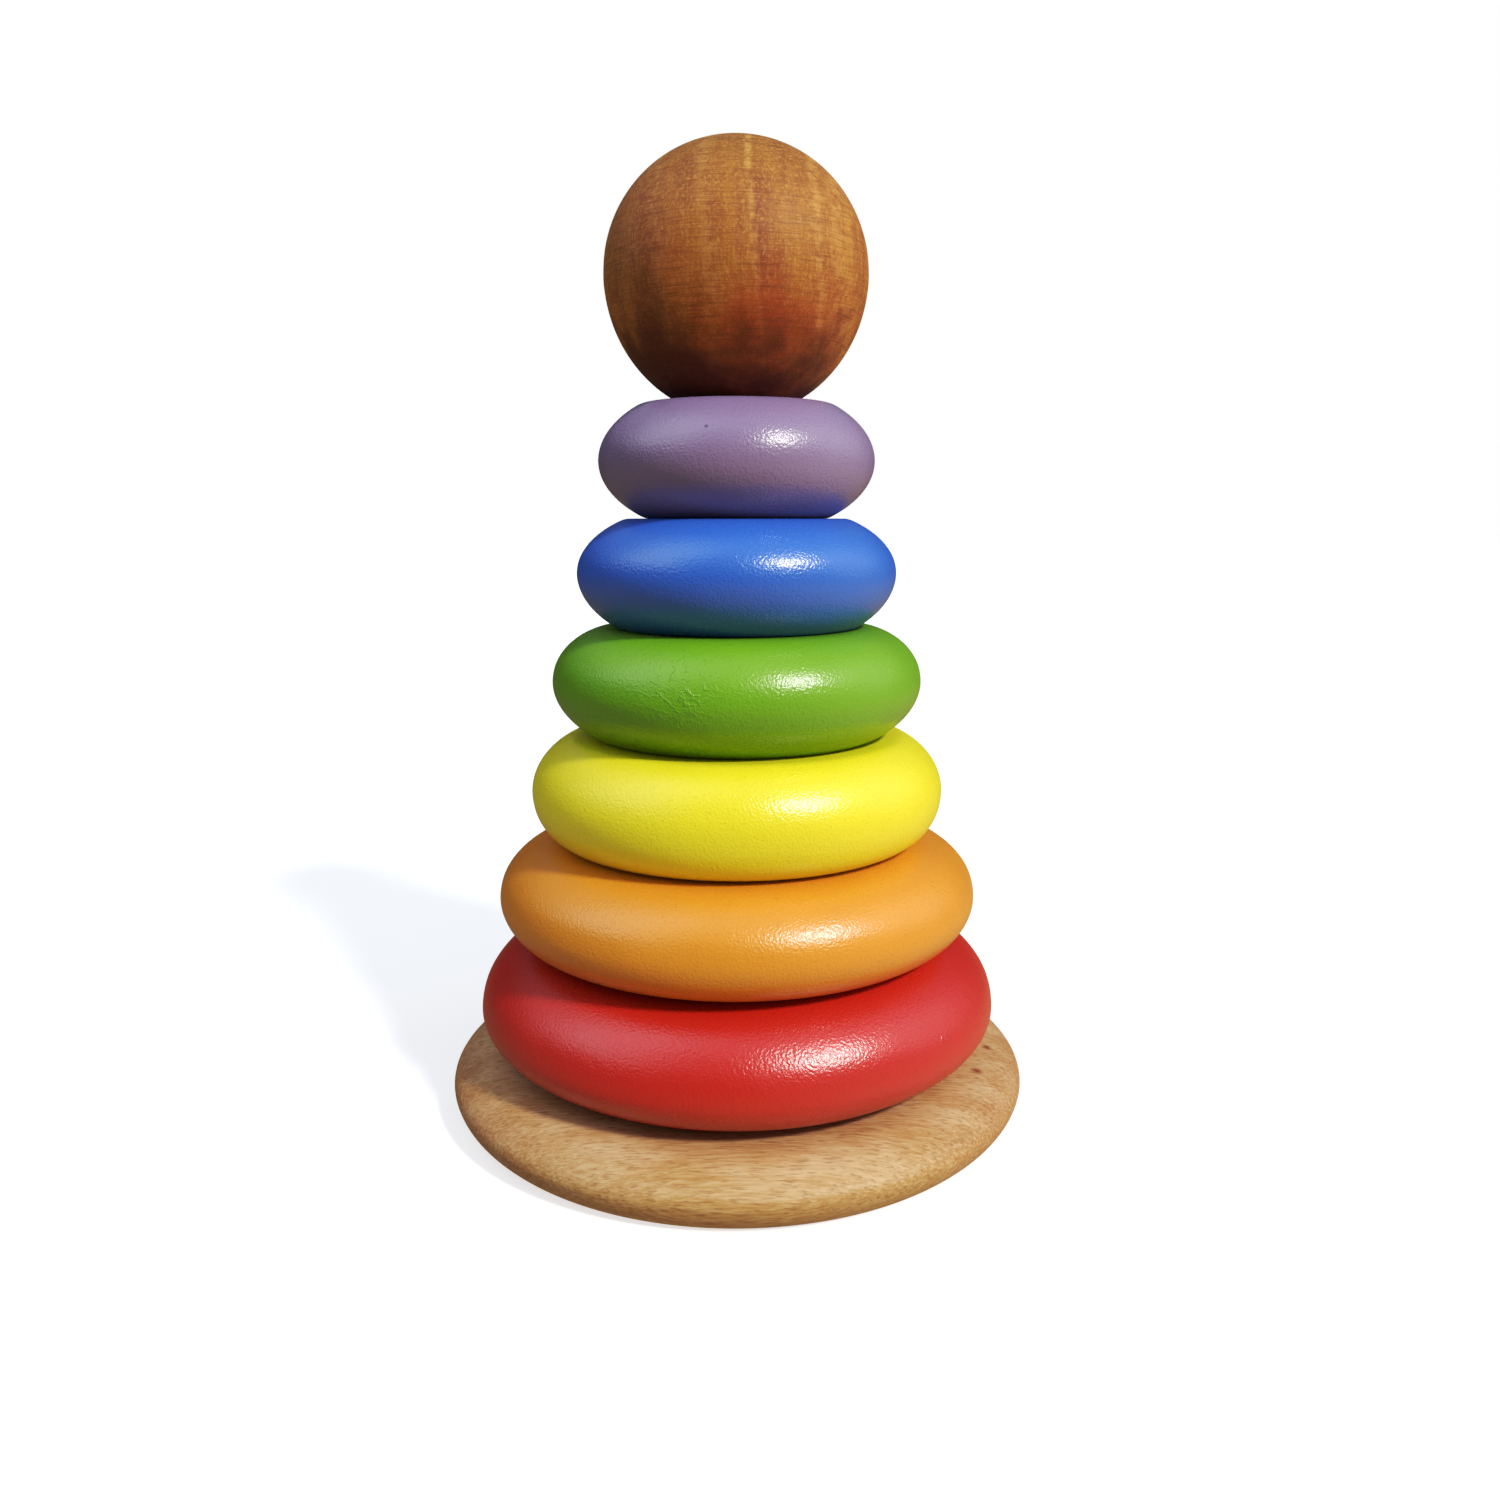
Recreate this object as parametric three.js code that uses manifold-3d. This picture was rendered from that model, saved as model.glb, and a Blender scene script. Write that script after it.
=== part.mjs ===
// A wooden ring stacker: a round base with one upright peg, six painted rings that get smaller
// from the bottom of the stack to the top, and a wooden ball that caps the peg.
// Millimetres, +Z up. The origin is the centre of the underside, on the surface it stands on.
import * as THREE from "three";
import { mergeVertices } from "three/addons/utils/BufferGeometryUtils.js";
import Module from "manifold-3d";

const wasm = await Module();
wasm.setup();

// Each turned piece is a disc with a rounded outer wall between two flat faces. `widest` is the
// height of its widest point above its foot. Its wall is an arc of one ellipse below that point and
// of another above it: `across` and `up` are their half-widths and half-heights.
const BASE = {
  radius: 70,
  height: 13.5,
  widest: 7,
  below: { across: 30, up: 13.2 },
  above: { across: 30, up: 8.7 },
};

// The rings, from the bottom of the stack to the top.
const RINGS = [
  {
    name: "red_ring",
    colour: 0xc23127,
    radius: 62.6,
    height: 27.5,
    widest: 11.7,
    below: { across: 18.6, up: 11.8 },
    above: { across: 19.4, up: 15.8 },
  },
  {
    name: "orange_ring",
    colour: 0xe68a2e,
    radius: 57.4,
    height: 24,
    widest: 11.1,
    below: { across: 13.1, up: 11.1 },
    above: { across: 17, up: 12.9 },
  },
  {
    name: "yellow_ring",
    colour: 0xf2e932,
    radius: 49,
    height: 25,
    widest: 12,
    below: { across: 10.4, up: 12 },
    above: { across: 17.4, up: 14.5 },
  },
  {
    name: "green_ring",
    colour: 0x5ea623,
    radius: 43.5,
    height: 25.5,
    widest: 13,
    below: { across: 30, up: 17.3 },
    above: { across: 16, up: 13 },
  },
  {
    name: "blue_ring",
    colour: 0x2f6ccc,
    radius: 37.2,
    height: 25,
    widest: 12.6,
    below: { across: 30, up: 17.7 },
    above: { across: 29.3, up: 15.7 },
  },
  {
    name: "violet_ring",
    colour: 0x9675ab,
    radius: 31.7,
    height: 25.5,
    widest: 12.7,
    below: { across: 30, up: 16.7 },
    above: { across: 30, up: 17.3 },
  },
];

// The ball is rounded up to its top, and cut flat at its foot.
const BALL = {
  radius: 29.6,
  height: 56.25,
  widest: 27.5,
  below: { across: 29.6, up: 30.2 },
  above: { across: 29.6, up: 28.75 },
};

// The peg, and the holes that it fits. FIT_GAP is left round glued and screwed pieces.
const PEG_RADIUS = 8;
const PEG_TIP_ROUND = 4;
const PEG_FOOT_CHAMFER = 0.8;
const PEG_IN_BASE = 7;
const PEG_IN_BALL = 20;
const BORE_RADIUS = 9.2;
const BORE_CHAMFER = 1;
const BALL_BORE_SPARE = 2;
const FIT_GAP = 0.3;

// The countersunk screw that holds the peg, driven from below.
const SCREW_RADIUS = 2;
const SCREW_LENGTH = 28;
const SCREW_POINT = 4;
const SCREW_HEAD_RADIUS = 4;
const SCREW_HEAD_HEIGHT = 2.4;
const SCREW_HEAD_RIM = 0.4;
const SCREW_SUNK = 0.8;
const CROSS_LENGTH = 4.4;
const CROSS_WIDTH = 1;
const CROSS_DEPTH = 1.6;

// How finely round shapes are divided.
const DISC_SIDES = 48;
const PEG_SIDES = 32;
const SCREW_SIDES = 20;
const ARC_STEPS = 4;
const BALL_ARC_STEPS = 8;

const baseTop = BASE.height;
const socketFloor = baseTop - PEG_IN_BASE;
const ballFoot = RINGS.reduce((height, ring) => height + ring.height, baseTop);
const pegTop = ballFoot + PEG_IN_BALL;

function finish(colour, roughness, metalness = 0) {
  return new THREE.MeshStandardMaterial({ color: colour, roughness, metalness });
}

// Turns an outline of [radius, height] points about the Z axis.
function turned(outline, sides) {
  const points = outline.map(([radius, height]) => new THREE.Vector2(radius, height));
  return new THREE.LatheGeometry(points, sides).rotateX(Math.PI / 2);
}

// Points on an arc of an ellipse about [radius, height], between two angles above the horizontal.
function arc([radius, height], { across, up }, from, to, steps) {
  return Array.from({ length: steps + 1 }, (_, step) => {
    const angle = from + ((to - from) * step) / steps;
    return [radius + across * Math.cos(angle), height + up * Math.sin(angle)];
  });
}

// The outer wall of a turned piece that stands on height `foot`, from its foot to its top.
function outerWall(piece, foot, steps) {
  const { radius, height, widest, below, above } = piece;
  const middle = foot + widest;
  const footAngle = -Math.asin(widest / below.up);
  const topAngle = Math.asin((height - widest) / above.up);
  const wall = [
    ...arc([radius - below.across, middle], below, footAngle, 0, steps),
    ...arc([radius - above.across, middle], above, 0, topAngle, steps).slice(1),
  ];
  wall[0][1] = foot;
  wall[wall.length - 1][1] = foot + height;
  return wall;
}

// The base has a socket for the peg's foot, and a countersunk hole for the screw below it.
function baseGeometry() {
  const socket = PEG_RADIUS + FIT_GAP;
  const shank = SCREW_RADIUS + FIT_GAP;
  const head = SCREW_HEAD_RADIUS + FIT_GAP;
  const outline = [
    ...outerWall(BASE, 0, ARC_STEPS),
    [socket, baseTop],
    [socket, socketFloor],
    [shank, socketFloor],
    [shank, SCREW_SUNK + SCREW_HEAD_HEIGHT],
    [head, SCREW_SUNK + SCREW_HEAD_RIM],
    [head, 0],
  ];
  outline.push(outline[0]);
  return turned(outline, DISC_SIDES);
}

// A ring has a chamfered bore that drops loosely over the peg.
function ringGeometry(ring, foot) {
  const top = foot + ring.height;
  const outline = [
    ...outerWall(ring, foot, ARC_STEPS),
    [BORE_RADIUS + BORE_CHAMFER, top],
    [BORE_RADIUS, top - BORE_CHAMFER],
    [BORE_RADIUS, foot + BORE_CHAMFER],
    [BORE_RADIUS + BORE_CHAMFER, foot],
  ];
  outline.push(outline[0]);
  return turned(outline, DISC_SIDES);
}

// The ball sits on the top ring and hides the end of the peg in a blind bore.
function ballGeometry() {
  const boreTop = pegTop + BALL_BORE_SPARE;
  const wall = outerWall(BALL, ballFoot, BALL_ARC_STEPS);
  wall[wall.length - 1][0] = 0;
  const outline = [
    [0, boreTop],
    [BORE_RADIUS, boreTop],
    [BORE_RADIUS, ballFoot + BORE_CHAMFER],
    [BORE_RADIUS + BORE_CHAMFER, ballFoot],
    ...wall,
  ];
  return turned(outline, DISC_SIDES);
}

// The peg is a dowel with a rounded tip, and a pilot hole for the screw in its foot.
function pegGeometry() {
  const foot = socketFloor + FIT_GAP;
  const pilot = SCREW_RADIUS + FIT_GAP;
  const pilotTop = SCREW_SUNK + SCREW_LENGTH + FIT_GAP;
  const tipCentre = [PEG_RADIUS - PEG_TIP_ROUND, pegTop - PEG_TIP_ROUND];
  const tipRound = { across: PEG_TIP_ROUND, up: PEG_TIP_ROUND };
  const outline = [
    [0, pilotTop],
    [pilot, pilotTop - SCREW_POINT],
    [pilot, foot],
    [PEG_RADIUS - PEG_FOOT_CHAMFER, foot],
    [PEG_RADIUS, foot + PEG_FOOT_CHAMFER],
    ...arc(tipCentre, tipRound, 0, Math.PI / 2, ARC_STEPS),
    [0, pegTop],
  ];
  return turned(outline, PEG_SIDES);
}

// Makes a manifold solid from a closed geometry.
function solid(geometry) {
  const bare = new THREE.BufferGeometry();
  bare.setAttribute("position", geometry.getAttribute("position"));
  bare.setIndex(geometry.index);
  const merged = mergeVertices(bare, 1e-4);
  return new wasm.Manifold(
    new wasm.Mesh({
      numProp: 3,
      vertProperties: merged.attributes.position.array,
      triVerts: new Uint32Array(merged.index.array),
    }),
  );
}

// Makes a geometry from a manifold solid.
function geometryOf(body) {
  const mesh = body.getMesh();
  const geometry = new THREE.BufferGeometry();
  geometry.setAttribute("position", new THREE.BufferAttribute(mesh.vertProperties, 3));
  geometry.setIndex(new THREE.BufferAttribute(mesh.triVerts, 1));
  geometry.computeVertexNormals();
  return geometry;
}

// The screw stands head down, with a cross recess in its head.
function screwGeometry() {
  const bottom = SCREW_SUNK;
  const tip = bottom + SCREW_LENGTH;
  const outline = [
    [0, bottom],
    [SCREW_HEAD_RADIUS, bottom],
    [SCREW_HEAD_RADIUS, bottom + SCREW_HEAD_RIM],
    [SCREW_RADIUS, bottom + SCREW_HEAD_HEIGHT],
    [SCREW_RADIUS, tip - SCREW_POINT],
    [0, tip],
  ];
  const slots = [
    [CROSS_LENGTH, CROSS_WIDTH],
    [CROSS_WIDTH, CROSS_LENGTH],
  ];
  let screw = solid(turned(outline, SCREW_SIDES));
  for (const [x, y] of slots) {
    const slot = new THREE.BoxGeometry(x, y, 2 * CROSS_DEPTH).translate(0, 0, bottom);
    screw = screw.subtract(solid(slot));
  }
  return geometryOf(screw);
}

const stacker = new THREE.Group();

function add(name, geometry, material) {
  const mesh = new THREE.Mesh(geometry, material);
  mesh.name = name;
  stacker.add(mesh);
}

add("base_plate", baseGeometry(), finish(0xb98a52, 0.55));
add("peg", pegGeometry(), finish(0xc9a26b, 0.6));
add("base_screw", screwGeometry(), finish(0xa9abad, 0.35, 0.9));

let ringFoot = baseTop;
for (const ring of RINGS) {
  add(ring.name, ringGeometry(ring, ringFoot), finish(ring.colour, 0.35));
  ringFoot += ring.height;
}

add("top_ball", ballGeometry(), finish(0x9a5a2b, 0.45));

export default stacker;
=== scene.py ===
"""A wooden ring stacker: a round base with a peg, six painted rings and a wooden ball, in metres.

The turned pieces are built finely on the CAD model's own outlines, and each gets a node material.
"""

import math

import bpy
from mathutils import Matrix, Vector, noise


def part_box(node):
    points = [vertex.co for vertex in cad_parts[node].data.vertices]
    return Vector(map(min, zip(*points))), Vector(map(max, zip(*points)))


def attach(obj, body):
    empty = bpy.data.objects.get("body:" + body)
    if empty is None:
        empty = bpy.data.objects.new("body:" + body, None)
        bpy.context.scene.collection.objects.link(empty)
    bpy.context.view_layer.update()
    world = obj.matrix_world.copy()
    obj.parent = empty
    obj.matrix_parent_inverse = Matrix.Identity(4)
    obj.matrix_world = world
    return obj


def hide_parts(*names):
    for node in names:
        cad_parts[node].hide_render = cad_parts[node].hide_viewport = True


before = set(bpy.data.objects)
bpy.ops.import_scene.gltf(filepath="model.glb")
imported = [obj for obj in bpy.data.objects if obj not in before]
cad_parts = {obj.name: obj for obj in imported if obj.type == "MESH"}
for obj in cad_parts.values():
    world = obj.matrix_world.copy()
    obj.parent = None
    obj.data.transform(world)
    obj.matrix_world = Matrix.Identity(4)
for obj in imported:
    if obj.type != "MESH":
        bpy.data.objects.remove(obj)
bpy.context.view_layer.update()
MM = 0.001

# The camera stands in front of the stacker, a little above its middle, and looks down by this many
# degrees.
CAMERA_PLACE = (3.1 * MM, -281.05 * MM, 140.96 * MM)
CAMERA_DOWN = 11.15
CAMERA_LENS = 28.43

# The sun, by the direction that it comes from (degrees round from the front towards the right, and
# degrees up), its width in degrees, and its strength, where 1 makes a white wall white.
SUN = {"around": 44, "up": 40, "width": 7, "strength": 0.87, "colour": (1, 0.97, 0.92)}

# The soft light all round: a pale sky above the front, bright where it opens at the sides and dim
# where someone stands in its way, dim air round the horizon, and a warm ground. The air has a
# strength at the left, ahead and at the right. GROUND_LEFT is the ground's share of its own strength
# at the left, and BEHIND is the share that sky and air have behind the stacker. The sky and the
# ground fade in between two heights, where 1 is straight up.
SKY = (0.58, 0.66, 0.8)
OPEN_SKY = (1.5, 1.65, 1.9)
OPEN_LEFT = {"around": -72, "up": 42}
OPEN_RIGHT = {"around": 95, "up": 27}
STANDING = {"around": -12, "up": 34}
AIR = (1, 0.95, 0.9)
AIR_LEFT = 0.13
AIR_AHEAD = 0.12
AIR_RIGHT = 0.4
GROUND = (0.42, 0.3, 0.15)
GROUND_LEFT = 0.4
BEHIND = 0.3
SKY_EDGE = (0.28, 0.5)
GROUND_EDGE = (0.05, -0.35)

# The floor: half its width, its grey, and how strongly it glows white.
FLOOR_HALF = 6
FLOOR_GREY = 0.55
FLOOR_GLOW = 0.6

# The camera's gentle contrast: brightness in, brightness out.
TONE = [(0, 0), (0.03, 0.0235), (0.1, 0.083), (0.24, 0.26), (0.42, 0.475), (0.65, 0.685), (1, 1)]

# The rings from the bottom of the stack up: CAD node, body, paint colour, how shiny the paint is.
RINGS = [
    ("red_ring", "ring_1_red", (0.5, 0.016, 0.008), 0.85),
    ("orange_ring", "ring_2_orange", (0.68, 0.257, 0.018), 0.8),
    ("yellow_ring", "ring_3_yellow", (0.82, 0.72, 0.02), 0.7),
    ("green_ring", "ring_4_green", (0.16, 0.36, 0.008), 0.7),
    ("blue_ring", "ring_5_blue", (0.033, 0.138, 0.56), 0.85),
    ("violet_ring", "ring_6_violet", (0.245, 0.178, 0.305), 0.7),
]

# Marks of use on the paint, in millimetres: wrinkled patches (place, radius) and a dark speck.
WRINKLES = {
    "red_ring": ((45, -42.1, 30), 3.5),
    "green_ring": ((-11, -41.8, 105.5), 13),
}
SPECKS = {"violet_ring": ((-5.9, -29.2, 159.2), 0.6)}

# The base's two tans, the dark bands, pale fibres and dark pores in them, and its rim, which is
# browner at the sides. The rim's colour comes in between two radii, and the browner one between two
# distances to the left or right, in millimetres.
BASE_TAN = (0.43, 0.225, 0.09)
BASE_PALE = (0.54, 0.35, 0.185)
BASE_BAND = (0.36, 0.17, 0.06)
BASE_FIBRE = (0.74, 0.52, 0.29)
BASE_PORE = (0.25, 0.115, 0.04)
BASE_RIM = (0.39, 0.205, 0.056)
BASE_RIM_SIDE = (0.34, 0.14, 0.04)
RIM_RADII = (61, 70)
RIM_SIDES = (30, 62)

# Dark spots in the base's wood: their colour, then place and radius in millimetres.
KNOT = (0.2, 0.055, 0.02)
KNOTS = [((61.4, -9.1, 12.9), 1.9), ((56.5, -22.3, 13.3), 2.2)]

# The ball's colours, how shiny it is, and its pale streaks: how far right they stand in
# millimetres, half their width, and how pale they are. They lean STREAK_LEAN millimetres to the left
# for each one up.
BALL_GOLD = (0.43, 0.178, 0.025)
BALL_BROWN = (0.26, 0.074, 0.014)
BALL_PALE = (0.72, 0.38, 0.11)
BALL_RED = (0.38, 0.05, 0.008)
# The foot's colour is partly stain and partly painted shade, under the ball and at its left.
BALL_FOOT_STAIN_AND_SHADE = (0.1, 0.015, 0.004)
BALL_SHINE = 0.35
STREAK_LEAN = 0.072
STREAKS = [(18.2, 1.2, 0.55), (31, 2, 0.45), (36, 5, 0.4), (-1.6, 3, 0.3), (9, 3, 0.3)]

# Where the ball changes colour, from one height to another in millimetres: it darkens towards its
# top, glows red low down and is dark at its foot, partly with stain and partly with painted shade
# where it sits on the violet ring. The red is strongest this far right, and fades from one distance
# to another on both sides of there.
BALL_TOP_FADE = (200, 222)
BALL_RED_FADE = (197, 175)
BALL_FOOT_STAIN_AND_SHADE_FADE = (183, 165)
BALL_RED_RIGHT = 3
BALL_RED_SPREAD = (24, 4)

# The peg's two tans and dark fibres, and the screw's two greys.
PEG_TAN = (0.5, 0.3, 0.13)
PEG_PALE = (0.68, 0.46, 0.24)
PEG_FIBRE = (0.34, 0.18, 0.07)
ZINC_DULL = (0.5, 0.5, 0.48)
ZINC_BRIGHT = (0.68, 0.68, 0.64)

# Holes, as in the CAD model. The peg's pilot hole for the screw ends in a point.
BORE_RADIUS = 9.2 * MM
BALL_BORE_TOP = 188 * MM
PILOT_TOP = 29.1 * MM
PILOT_POINT = 4 * MM
SOCKET_RADIUS = 8.3 * MM
SOCKET_DEPTH = 7 * MM
SCREW_HOLE_RADIUS = 2.3 * MM
SCREW_SINK_RADIUS = 4.3 * MM
SCREW_SINK_TOP = 3.2 * MM
SCREW_SINK_RIM = 1.2 * MM

# How far each kind of edge is eased.
BASE_FOOT_EASE = 1.2 * MM
BASE_TOP_EASE = 4 * MM
RING_FOOT_EASE = 0.7 * MM
RING_TOP_EASE = 1.2 * MM
BORE_EASE = 1.2 * MM
BALL_FOOT_EASE = 0.5 * MM
BALL_BORE_EASE = 0.8 * MM
BLIND_END_EASE = 0.5 * MM
PEG_FOOT_EASE = 0.8 * MM
PEG_TIP_ROUND = 4 * MM
HOLE_EASE = 0.25 * MM

# How finely the turned pieces are made: sides round them, the spacing of points on straight
# stretches, and steps to each span of a curved wall and to each eased edge. EASE_CLEAR is how many
# times an edge's ease is kept clear of other points round it.
SIDES = 240
PEG_SIDES = 96
SPACING = 0.9 * MM
PEG_SPACING = 3 * MM
BALL_FOOT_SPACING = 0.4 * MM
SINK_RIM_SPACING = 0.3 * MM
WALL_STEPS = 10
EASE_STEPS = 6
EASE_CLEAR = 1.2

# The base's outline starts and ends on its underside, at this share of its foot's radius.
BASE_START = 0.6

# How far hand sanding left the pieces from true, how many lumps it left to a radian round them, and
# the height that counts as a radian. Points nearer the axis than WALL_FROM stay true.
SANDED = 0.12 * MM
LUMPS = 1.6
LUMP_RADIAN = 40 * MM
WALL_FROM = 2 * BORE_RADIUS

# How far on in its noise each piece starts, for each step of its seed: a turned piece, and a ring's
# paint in millimetres.
TURNED_STEP = 7.3
PAINT_STEP = (37, 11, 0)

# The small gap left under each stacked piece, so that faces that rest together don't cross.
SEAT = 0.02 * MM

# Nearer the axis than this, a point is on it.
ON_AXIS = 0.001 * MM


def section_wall(node):
    """The CAD node's outer wall as (radius, height) points, from its foot up.

    The wall bulges all the way up, so it is where a string pulled round the section would touch.
    """
    widest = {}
    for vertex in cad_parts[node].data.vertices:
        height = round(vertex.co.z, 6)
        widest[height] = max(widest.get(height, 0), vertex.co.xy.length)
    wall = []
    for height in sorted(widest):
        point = Vector((widest[height], height))
        while len(wall) > 1 and (wall[-1] - wall[-2]).cross(point - wall[-1]) <= 0:
            wall.pop()
        wall.append(point)
    return wall


def smooth_curve(points, steps):
    """A Catmull-Rom curve through the points, with this many steps to a span."""
    first = 3 * points[0] - 3 * points[1] + points[2]
    last = 3 * points[-1] - 3 * points[-2] + points[-3]
    run = [first, *points, last]
    curve = [points[0]]
    for a, b, c, d in zip(run, run[1:], run[2:], run[3:]):
        for step in range(1, steps + 1):
            t = step / steps
            bend = (2 * a - 5 * b + 4 * c - d) * t * t + (3 * b - a - 3 * c + d) * t**3
            curve.append((2 * b + (c - a) * t + bend) / 2)
    return curve


def straight(start, end, spacing=SPACING):
    """Points along a straight line, no further apart than the spacing."""
    start, end = Vector(start), Vector(end)
    steps = max(1, math.ceil((end - start).length / spacing))
    return [start.lerp(end, step / steps) for step in range(steps + 1)]


def eased(runs, eases):
    """Joins runs of points end to end, and rounds each corner over the length given for it."""
    outline = list(runs[0])
    for run, ease in zip(runs[1:], eases):
        corner = outline.pop()
        clear = EASE_CLEAR * ease
        outline = [point for point in outline if (point - corner).length > clear]
        rest = [point for point in run if (point - corner).length > clear]
        start = corner + (outline[-1] - corner).normalized() * ease
        end = corner + (rest[0] - corner).normalized() * ease
        for step in range(EASE_STEPS + 1):
            t = step / EASE_STEPS
            outline.append(start.lerp(corner, t).lerp(corner.lerp(end, t), t))
        outline += rest
    return outline


def added(name, data):
    """A new object in the scene."""
    thing = bpy.data.objects.new(name, data)
    bpy.context.scene.collection.objects.link(thing)
    return thing


def turned_rows(outline, wobble, seed, sides):
    """The vertices of a turned piece, and a row of their numbers for each point of its outline.

    The wall wanders from true by up to `wobble`, and not at all where it meets the flat faces.
    """
    foot = min(point.y for point in outline)
    height = max(point.y for point in outline) - foot
    vertices, rows = [], []
    for radius, z in outline:
        if radius < ON_AXIS:
            rows.append([len(vertices)] * sides)
            vertices.append((0, 0, z))
            continue
        rows.append(range(len(vertices), len(vertices) + sides))
        free = math.sin(math.pi * (z - foot) / height) if radius > WALL_FROM else 0
        for side in range(sides):
            angle = 2 * math.pi * side / sides
            around = Vector((math.cos(angle), math.sin(angle), z / LUMP_RADIAN))
            out = radius + wobble * free * noise.noise(around * LUMPS + seed)
            vertices.append((around.x * out, around.y * out, z))
    return vertices, rows


def turned_faces(rows, closed, sides):
    """Faces between each row and the next, with three corners where a row is a single point."""
    faces = []
    for low, high in zip(rows, [*rows[1:], rows[0]] if closed else rows[1:]):
        for side in range(sides):
            after = (side + 1) % sides
            corners = [low[side], low[after], high[after], high[side]]
            faces.append(list(dict.fromkeys(corners)))
    return faces


def turned(name, outline, closed=True, wobble=0, sides=SIDES):
    """A piece turned about the Z axis from an outline that runs outside-up and inside-down.

    The outline closes on itself, or starts and ends on the axis. The name also picks the piece's
    own part of the noise that it wanders by.
    """
    seed = Vector((sum(map(ord, name)) * TURNED_STEP, 0, 0))
    vertices, rows = turned_rows(outline, wobble, seed, sides)
    mesh = bpy.data.meshes.new(name)
    mesh.from_pydata(vertices, [], turned_faces(rows, closed, sides))
    mesh.shade_smooth()
    return added(name, mesh)


def stand_in(piece, material, node, body):
    """Gives a finished piece its material, and puts it in the place of a CAD node."""
    piece.data.materials.append(material)
    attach(piece, body)
    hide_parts(node)


# ---- Materials ----


class Graph:
    """Nodes in the making. Each method adds a node and returns what it gives."""

    def __init__(self, owner):
        owner.use_nodes = True
        self.tree = owner.node_tree

    def node(self, kind, **settings):
        node = self.tree.nodes.new(kind)
        for name, value in settings.items():
            setattr(node, name, value)
        return node

    def feed(self, socket, value):
        """Links a socket to another node's output, or sets it to a plain value."""
        if isinstance(value, bpy.types.NodeSocket):
            self.tree.links.new(value, socket)
        else:
            socket.default_value = value

    def maths(self, operation, first, second=0):
        node = self.node("ShaderNodeMath", operation=operation)
        self.feed(node.inputs[0], first)
        self.feed(node.inputs[1], second)
        return node.outputs[0]

    def apart(self, first, second):
        """How far apart two values are."""
        return self.maths("ABSOLUTE", self.maths("SUBTRACT", first, second))

    def squared(self, value):
        return self.maths("MULTIPLY", value, value)

    def graded(self, value, start, end, low=0, high=1):
        """Runs smoothly from low to high as the value goes from start to end."""
        node = self.node("ShaderNodeMapRange", interpolation_type="SMOOTHSTEP")
        limits = {"From Min": start, "From Max": end, "To Min": low, "To Max": high}
        self.feed(node.inputs["Value"], value)
        for name, number in limits.items():
            self.feed(node.inputs[name], number)
        return node.outputs["Result"]

    def blended(self, share, first, second):
        node = self.node("ShaderNodeMix", data_type="RGBA")
        self.feed(node.inputs["Factor"], share)
        self.feed(node.inputs["A"], first)
        self.feed(node.inputs["B"], second)
        return node.outputs["Result"]

    def towards(self, way, place):
        """How far a direction agrees with a place in the sky: 1 is straight at it."""
        node = self.node("ShaderNodeVectorMath", operation="DOT_PRODUCT")
        self.feed(node.inputs[0], way)
        node.inputs[1].default_value = direction(**place)
        return node.outputs["Value"]

    def split(self, vector):
        node = self.node("ShaderNodeSeparateXYZ")
        self.feed(node.inputs[0], vector)
        return node.outputs


class Finish(Graph):
    """A node material in the making, with places in millimetres."""

    def __init__(self, name):
        self.material = bpy.data.materials.new(name)
        super().__init__(self.material)
        self.shader = self.tree.nodes["Principled BSDF"]
        place = self.node("ShaderNodeTexCoord").outputs["Object"]
        self.place = self.scaled(place, (1 / MM, 1 / MM, 1 / MM))

    def scaled(self, vector, scale, shift=(0, 0, 0)):
        node = self.node("ShaderNodeMapping")
        self.feed(node.inputs["Vector"], vector)
        node.inputs["Scale"].default_value = scale
        node.inputs["Location"].default_value = shift
        return node.outputs["Vector"]

    def noise(self, vector, size, detail=2, roughness=0.5, colour=False):
        """Noise whose lumps are about `size` millimetres across."""
        node = self.node("ShaderNodeTexNoise")
        self.feed(node.inputs["Vector"], vector)
        node.inputs["Scale"].default_value = 1 / size
        node.inputs["Detail"].default_value = detail
        node.inputs["Roughness"].default_value = roughness
        return node.outputs["Color" if colour else "Fac"]

    def warped(self, vector, size, strength):
        """The place, pushed about by soft noise."""
        push = self.noise(vector, size, colour=True)
        centred = self.node("ShaderNodeVectorMath", operation="SUBTRACT")
        self.feed(centred.inputs[0], push)
        centred.inputs[1].default_value = (0.5, 0.5, 0.5)
        moved = self.node("ShaderNodeVectorMath", operation="MULTIPLY_ADD")
        self.feed(moved.inputs[0], centred.outputs[0])
        moved.inputs[1].default_value = (strength, strength, strength)
        self.feed(moved.inputs[2], vector)
        return moved.outputs[0]

    def near(self, spot, radius):
        """1 at a spot, given in millimetres, fading to 0 at this radius."""
        node = self.node("ShaderNodeVectorMath", operation="DISTANCE")
        self.feed(node.inputs[0], self.place)
        node.inputs[1].default_value = spot
        return self.graded(node.outputs["Value"], radius, 0)

    def bumped(self, height, distance, below=None):
        """Relief of `distance` millimetres, on top of another relief."""
        node = self.node("ShaderNodeBump")
        self.feed(node.inputs["Height"], height)
        node.inputs["Distance"].default_value = distance * MM
        if below is not None:
            self.feed(node.inputs["Normal"], below)
        return node.outputs["Normal"]

    def done(self, colour, roughness, normal):
        self.feed(self.shader.inputs["Base Color"], colour)
        self.feed(self.shader.inputs["Roughness"], roughness)
        self.feed(self.shader.inputs["Normal"], normal)
        return self.material


def rgba(colour, lighter=1.0):
    """The colour as a socket takes it, lighter or darker by a factor."""
    return tuple(min(1, part * lighter) for part in colour) + (1,)


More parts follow.
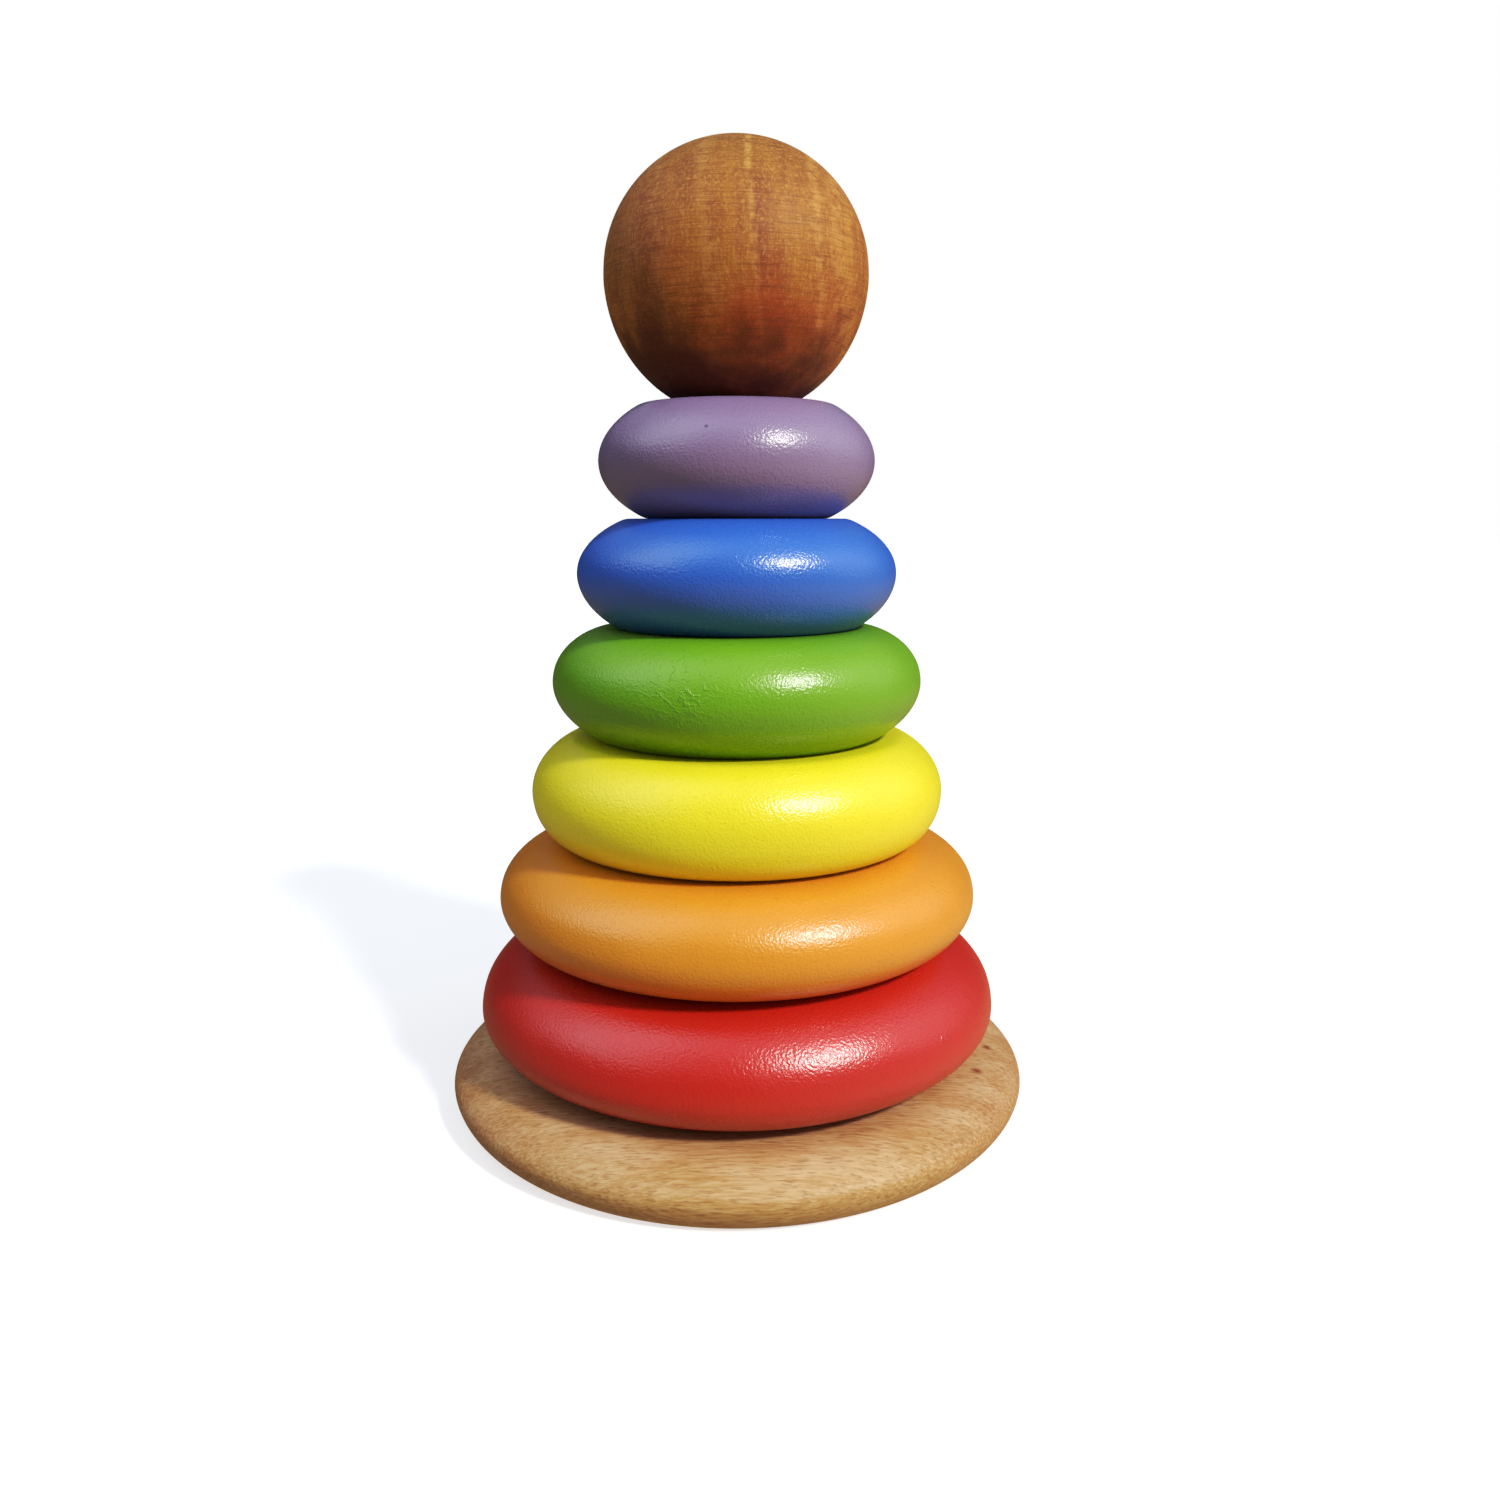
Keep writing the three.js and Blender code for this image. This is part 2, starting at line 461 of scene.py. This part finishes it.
def paint(ring, colour, shine, seed):
    """Satin paint, sprayed on turned wood: orange peel, soft unevenness and marks of use."""
    finish = Finish(ring.replace("_ring", "_paint"))
    shift = [seed * step for step in PAINT_STEP]
    where = finish.scaled(finish.place, (1, 1, 1), shift)
    patches = finish.noise(where, 20, detail=3)
    peel = finish.noise(where, 0.55, detail=1)
    ripple = finish.noise(where, 3.5)
    turning = finish.noise(finish.scaled(where, (0.05, 0.05, 1)), 0.9, detail=3)
    tone = finish.blended(patches, rgba(colour, 0.93), rgba(colour, 1.06))
    tone = finish.blended(finish.graded(peel, 0.58, 0.78, 0, 0.3), tone, rgba(colour, 0.6))
    normal = finish.bumped(turning, 0.03)
    normal = finish.bumped(ripple, 0.04, normal)
    normal = finish.bumped(peel, 0.11, normal)
    if ring in WRINKLES:
        folds = finish.noise(finish.warped(where, 6, 6), 3.4, detail=3)
        ridges = finish.graded(finish.apart(folds, 0.5), 0.06, 0)
        ridges = finish.maths("MULTIPLY", ridges, finish.near(*WRINKLES[ring]))
        normal = finish.bumped(ridges, 0.1, normal)
    if ring in SPECKS:
        tone = finish.blended(finish.near(*SPECKS[ring]), tone, rgba(colour, 0.1))
    finish.shader.inputs["Specular IOR Level"].default_value = shine
    return finish.done(tone, finish.graded(patches, 0.3, 0.7, 0.28, 0.35), normal)


def base_rim(finish, tone, mottle):
    """Brings in the rim's colour over the base's, with an uneven edge."""
    right, back, _ = finish.split(finish.place)
    radius = finish.maths("ADD", finish.squared(right), finish.squared(back))
    radius = finish.maths("SQRT", radius)
    uneven = finish.maths("ADD", radius, finish.graded(mottle, 0.3, 0.7, 3, -3))
    side = finish.graded(finish.apart(right, 0), *RIM_SIDES)
    rim = finish.blended(side, rgba(BASE_RIM), rgba(BASE_RIM_SIDE))
    return finish.blended(finish.graded(uneven, *RIM_RADII, 0, 0.8), tone, rim)


def base_wood():
    """Tan hardwood with its grain running left to right, sanded and oiled: an ochre rim that turns
    brown at the sides, and two dark spots."""
    finish = Finish("base_wood")
    wavy = finish.warped(finish.place, 60, 2)
    mottle = finish.noise(finish.scaled(wavy, (0.4, 1, 1)), 11, detail=4, roughness=0.6)
    bands = finish.noise(finish.scaled(wavy, (0.06, 1, 1)), 2.2, detail=4, roughness=0.6)
    fibres = finish.noise(finish.scaled(wavy, (0.07, 1, 1)), 0.6, detail=4, roughness=0.7)
    pores = finish.noise(finish.scaled(wavy, (0.16, 1, 1)), 0.5)
    tone = finish.blended(finish.graded(mottle, 0.3, 0.7), rgba(BASE_TAN), rgba(BASE_PALE))
    tone = finish.blended(finish.graded(bands, 0.42, 0.7, 0, 0.3), tone, rgba(BASE_BAND))
    tone = base_rim(finish, tone, mottle)
    tone = finish.blended(finish.graded(fibres, 0.36, 0.72, 0, 0.45), tone, rgba(BASE_FIBRE))
    tone = finish.blended(finish.graded(pores, 0.52, 0.68, 0, 0.55), tone, rgba(BASE_PORE))
    for knot in KNOTS:
        tone = finish.blended(finish.near(*knot), tone, rgba(KNOT))
    normal = finish.bumped(fibres, 0.06)
    normal = finish.bumped(pores, 0.06, normal)
    return finish.done(tone, finish.graded(mottle, 0.3, 0.7, 0.45, 0.6), normal)


def ball_grain(finish, wavy, stain):
    """The ball's bands of gold and brown, darker towards its top, with its pale streaks."""
    bands = finish.noise(finish.scaled(wavy, (1, 0.4, 0.07)), 7, detail=5, roughness=0.65)
    worn = finish.graded(finish.noise(finish.place, 3, detail=4, roughness=0.7), 0.35, 0.6)
    right, _, height = finish.split(wavy)
    tone = finish.blended(finish.graded(bands, 0.3, 0.7), rgba(BALL_BROWN), rgba(BALL_GOLD))
    tone = finish.blended(finish.graded(stain, 0.48, 0.7, 0, 0.5), tone, rgba(BALL_BROWN, 0.8))
    top = finish.graded(height, *BALL_TOP_FADE, 0, 0.8)
    tone = finish.blended(top, tone, rgba(BALL_GOLD, 0.5))
    lean = finish.maths("ADD", right, finish.maths("MULTIPLY", height, STREAK_LEAN))
    for across, width, share in STREAKS:
        streak = finish.graded(finish.apart(lean, across), width, 0, 0, share)
        streak = finish.maths("MULTIPLY", streak, worn)
        tone = finish.blended(streak, tone, rgba(BALL_PALE))
    return tone


def ball_stain_and_shade(finish, tone, wavy, stain):
    """The red glow low on the ball, strongest in the middle, and the dark foot below it, which is
    partly stain and partly painted shade under the ball. Both reach a little higher at the left, where
    the painted shade falls on the side away from the sun."""
    right, _, height = finish.split(wavy)
    low = finish.maths("ADD", height, finish.graded(stain, 0.3, 0.7, 7, -7))
    # Painted shade: this lifts the dark foot higher at the left, the side away from the sun.
    low = finish.maths("ADD", low, finish.graded(right, -22, 8, -3.5, 1))
    middle = finish.graded(finish.apart(right, BALL_RED_RIGHT), *BALL_RED_SPREAD, 0.2, 0.7)
    red = finish.maths("MULTIPLY", finish.graded(low, *BALL_RED_FADE), middle)
    tone = finish.blended(red, tone, rgba(BALL_RED))
    # The dark foot is partly stain and partly painted shade where the ball sits on the violet ring.
    dark = finish.graded(low, *BALL_FOOT_STAIN_AND_SHADE_FADE, 0, 0.95)
    return finish.blended(dark, tone, rgba(BALL_FOOT_STAIN_AND_SHADE))


def ball_wood():
    """Golden brown hardwood with its grain standing up, stained and with painted shade towards its
    foot, with fine lines from the lathe."""
    finish = Finish("ball_wood")
    wavy = finish.warped(finish.place, 30, 4)
    stain = finish.noise(finish.scaled(finish.place, (1, 1, 0.7)), 13, detail=5, roughness=0.6)
    fibres = finish.noise(finish.scaled(wavy, (1, 1, 0.2)), 0.6, detail=3, roughness=0.75)
    flecks = finish.noise(finish.place, 0.6, roughness=0.75)
    round_it = finish.scaled(finish.place, (0.04, 0.04, 1))
    lathe = finish.noise(round_it, 0.4, detail=4, roughness=0.8)
    scratches = finish.noise(finish.scaled(round_it, (1.3, 1.3, 1)), 0.55, detail=3)
    tone = ball_grain(finish, wavy, stain)
    tone = finish.blended(finish.graded(fibres, 0.45, 0.72, 0, 0.45), tone, rgba(BALL_PALE, 0.8))
    tone = finish.blended(finish.graded(flecks, 0.52, 0.72, 0, 0.5), tone, rgba(BALL_PALE, 0.9))
    tone = ball_stain_and_shade(finish, tone, wavy, stain)
    tone = finish.blended(finish.graded(lathe, 0.42, 0.7, 0, 0.5), tone, rgba(BALL_BROWN, 0.55))
    tone = finish.blended(finish.graded(scratches, 0.64, 0.72, 0, 0.35), tone, rgba(BALL_BROWN, 0.4))
    normal = finish.bumped(lathe, 0.06)
    normal = finish.bumped(flecks, 0.05, normal)
    finish.shader.inputs["Specular IOR Level"].default_value = BALL_SHINE
    return finish.done(tone, finish.graded(stain, 0.3, 0.7, 0.55, 0.68), normal)


def peg_wood():
    """Plain pale dowel with straight grain."""
    finish = Finish("peg_wood")
    up = finish.scaled(finish.place, (1, 1, 0.05))
    fibres = finish.noise(up, 0.4, detail=4, roughness=0.65)
    bands = finish.noise(up, 2.4, detail=3)
    tone = finish.blended(finish.graded(bands, 0.3, 0.7), rgba(PEG_TAN), rgba(PEG_PALE))
    tone = finish.blended(finish.graded(fibres, 0.5, 0.75, 0, 0.4), tone, rgba(PEG_FIBRE))
    return finish.done(tone, finish.graded(fibres, 0.3, 0.7, 0.5, 0.62), finish.bumped(fibres, 0.04))


def screw_steel():
    """Zinc-plated steel, slightly dulled."""
    finish = Finish("screw_steel")
    dull = finish.noise(finish.place, 1.2, detail=4)
    finish.shader.inputs["Metallic"].default_value = 1
    tone = finish.blended(dull, rgba(ZINC_DULL), rgba(ZINC_BRIGHT))
    return finish.done(tone, finish.graded(dull, 0.3, 0.7, 0.28, 0.45), finish.bumped(dull, 0.02))


# ---- Pieces ----


def build_base():
    """The base, with its socket for the peg and its sunk hole for the screw."""
    wall = smooth_curve(section_wall("base_plate"), WALL_STEPS)
    top = wall[-1].y
    floor = top - SOCKET_DEPTH
    under = Vector((wall[0].x * BASE_START, 0))
    runs = [
        straight(under, wall[0]),
        wall,
        straight(wall[-1], (SOCKET_RADIUS, top)),
        straight((SOCKET_RADIUS, top), (SOCKET_RADIUS, floor)),
        straight((SOCKET_RADIUS, floor), (SCREW_HOLE_RADIUS, floor)),
        straight((SCREW_HOLE_RADIUS, floor), (SCREW_HOLE_RADIUS, SCREW_SINK_TOP)),
        straight((SCREW_HOLE_RADIUS, SCREW_SINK_TOP), (SCREW_SINK_RADIUS, SCREW_SINK_RIM)),
        straight((SCREW_SINK_RADIUS, SCREW_SINK_RIM), (SCREW_SINK_RADIUS, 0), SINK_RIM_SPACING),
        straight((SCREW_SINK_RADIUS, 0), under)[:-1],
    ]
    eases = [BASE_FOOT_EASE, BASE_TOP_EASE] + [HOLE_EASE] * 6
    piece = turned("turned_base", eased(runs, eases), wobble=SANDED)
    stand_in(piece, base_wood(), "base_plate", "base")


def build_ring(node, body, colour, shine, seed):
    """A painted ring with eased edges round its bore."""
    wall = smooth_curve(section_wall(node), WALL_STEPS)
    wall[0].y += SEAT
    foot, top = wall[0].y, wall[-1].y
    under = Vector(((wall[0].x + BORE_RADIUS) / 2, foot))
    runs = [
        straight(under, wall[0]),
        wall,
        straight(wall[-1], (BORE_RADIUS, top)),
        straight((BORE_RADIUS, top), (BORE_RADIUS, foot)),
        straight((BORE_RADIUS, foot), under)[:-1],
    ]
    eases = [RING_FOOT_EASE, RING_TOP_EASE, BORE_EASE, BORE_EASE]
    piece = turned(node.replace("_ring", "_painted_ring"), eased(runs, eases), wobble=SANDED)
    stand_in(piece, paint(node, colour, shine, seed), node, body)


def build_ball():
    """The ball, with its flat foot and the blind bore that hides the peg's tip."""
    wall = smooth_curve(section_wall("top_ball"), WALL_STEPS)
    wall[-1].x = 0
    wall[0].y += SEAT
    foot = wall[0].y
    runs = [
        straight((0, BALL_BORE_TOP), (BORE_RADIUS, BALL_BORE_TOP)),
        straight((BORE_RADIUS, BALL_BORE_TOP), (BORE_RADIUS, foot)),
        straight((BORE_RADIUS, foot), wall[0], BALL_FOOT_SPACING),
        wall,
    ]
    outline = eased(runs, [BLIND_END_EASE, BALL_BORE_EASE, BALL_FOOT_EASE])
    piece = turned("turned_ball", outline, closed=False, wobble=SANDED)
    stand_in(piece, ball_wood(), "top_ball", "ball")


def build_peg():
    """The dowel, with a rounded tip and the screw's pointed pilot hole in its foot."""
    low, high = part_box("peg")
    radius, foot, tip = high.x, low.z, high.z
    shoulder = PILOT_TOP - PILOT_POINT
    runs = [
        straight((0, PILOT_TOP), (SCREW_HOLE_RADIUS, shoulder)),
        straight((SCREW_HOLE_RADIUS, shoulder), (SCREW_HOLE_RADIUS, foot)),
        straight((SCREW_HOLE_RADIUS, foot), (radius, foot)),
        straight((radius, foot), (radius, tip), PEG_SPACING),
        straight((radius, tip), (0, tip)),
    ]
    outline = eased(runs, [HOLE_EASE, HOLE_EASE, PEG_FOOT_EASE, PEG_TIP_ROUND])
    piece = turned("peg_dowel", outline, closed=False, sides=PEG_SIDES)
    stand_in(piece, peg_wood(), "peg", "base")


# ---- Stage ----


def direction(around, up):
    """The unit vector of a direction given in degrees round from the front, and up."""
    around, up = math.radians(around), math.radians(up)
    return Vector((math.sin(around) * math.cos(up), -math.cos(around) * math.cos(up), math.sin(up)))


def add_light(name, around, up, width, strength, colour):
    """A far soft light, so that a lifted ring is lit like a stacked one."""
    lamp = bpy.data.lights.new(name, "SUN")
    lamp.angle = math.radians(width)
    lamp.energy = strength * math.pi
    lamp.color = colour
    light = added(name, lamp)
    light.rotation_euler = direction(around, up).to_track_quat("Z", "Y").to_euler()


def sky_share(graph, way):
    """How much sky there is in a direction: less behind, and little where someone stands."""
    _, back, up = graph.split(way)
    front = graph.graded(back, 0.25, 0, BEHIND, 1)
    sky = graph.maths("MULTIPLY", graph.graded(up, *SKY_EDGE), front)
    return graph.maths("MULTIPLY", sky, graph.graded(graph.towards(way, STANDING), 0.84, 0.95, 1, 0.1))


def air_light(graph, way):
    """The dim light from round the horizon, stronger at the right and weaker behind."""
    right, back, _ = graph.split(way)
    air = graph.graded(right, -0.2, -0.8, AIR_AHEAD, AIR_LEFT)
    air = graph.maths("MAXIMUM", air, graph.graded(right, 0.2, 0.9, AIR_AHEAD, AIR_RIGHT))
    air = graph.maths("MULTIPLY", air, graph.graded(back, 0.9, 0, BEHIND, 1))
    dim = graph.node("ShaderNodeVectorMath", operation="SCALE")
    dim.inputs[0].default_value = AIR
    graph.feed(dim.inputs["Scale"], air)
    return dim.outputs[0]


def with_ground(graph, way, light):
    """Adds the warm ground's light to another, weaker at the left."""
    right, _, up = graph.split(way)
    share = graph.graded(right, -0.6, 0.1, GROUND_LEFT, 1)
    share = graph.maths("MULTIPLY", graph.graded(up, *GROUND_EDGE), share)
    low = graph.node("ShaderNodeVectorMath", operation="MULTIPLY_ADD")
    graph.feed(low.inputs[0], share)
    low.inputs[1].default_value = GROUND
    graph.feed(low.inputs[2], light)
    return low.outputs[0]


def add_world():
    """Soft light from all round: a pale sky above the front, open at both sides, dim air and a warm
    ground. The camera itself sees plain white."""
    world = bpy.data.worlds.new("surroundings")
    bpy.context.scene.world = world
    graph = Graph(world)
    way = graph.node("ShaderNodeTexCoord").outputs["Generated"]
    open_sky = (*OPEN_SKY, 1)
    left = graph.graded(graph.towards(way, OPEN_LEFT), 0.75, 0.92)
    right = graph.graded(graph.towards(way, OPEN_RIGHT), 0.85, 0.97, 0, 0.5)
    light = with_ground(graph, way, air_light(graph, way))
    light = graph.blended(sky_share(graph, way), light, graph.blended(left, rgba(SKY), open_sky))
    soft = graph.tree.nodes["Background"]
    graph.feed(soft.inputs["Color"], graph.blended(right, light, open_sky))
    plain = graph.node("ShaderNodeBackground")
    plain.inputs["Color"].default_value = rgba((1, 1, 1))
    seen = graph.node("ShaderNodeMixShader")
    graph.feed(seen.inputs[0], graph.node("ShaderNodeLightPath").outputs["Is Camera Ray"])
    graph.feed(seen.inputs[1], soft.outputs[0])
    graph.feed(seen.inputs[2], plain.outputs[0])
    graph.feed(graph.tree.nodes["World Output"].inputs["Surface"], seen.outputs[0])


def add_floor():
    """A wide pale floor. It takes the shadow, and throws no light back up."""
    half = FLOOR_HALF
    mesh = bpy.data.meshes.new("floor")
    corners = [(-half, -half, 0), (half, -half, 0), (half, half, 0), (-half, half, 0)]
    mesh.from_pydata(corners, [], [(0, 1, 2, 3)])
    floor = added("floor", mesh)
    material = bpy.data.materials.new("floor")
    material.use_nodes = True
    shader = material.node_tree.nodes["Principled BSDF"]
    shader.inputs["Base Color"].default_value = (FLOOR_GREY, FLOOR_GREY, FLOOR_GREY, 1)
    shader.inputs["Roughness"].default_value = 0.9
    shader.inputs["Emission Color"].default_value = rgba((1, 1, 1))
    shader.inputs["Emission Strength"].default_value = FLOOR_GLOW
    mesh.materials.append(material)
    floor.visible_diffuse = False
    floor.visible_glossy = False


def add_tone():
    """The plain view with the camera's gentle contrast."""
    view = bpy.context.scene.view_settings
    view.view_transform = "Standard"
    view.use_curve_mapping = True
    points = view.curve_mapping.curves[3].points
    for number, point in enumerate(TONE):
        if number < 2:
            points[number].location = point
        else:
            points.new(*point)
    view.curve_mapping.update()


def add_camera():
    """The camera that the picture is taken by."""
    camera = added("camera", bpy.data.cameras.new("camera"))
    camera.location = CAMERA_PLACE
    camera.rotation_euler = (math.radians(90 - CAMERA_DOWN), 0, 0)
    camera.data.lens = CAMERA_LENS
    camera.data.clip_start = 0.01
    bpy.context.scene.camera = camera


add_camera()
add_tone()
add_world()
add_floor()
add_light("sun", **SUN)
build_base()
build_peg()
for number, (node, body, colour, shine) in enumerate(RINGS):
    build_ring(node, body, colour, shine, number)
build_ball()
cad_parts["base_screw"].data.materials[0] = screw_steel()
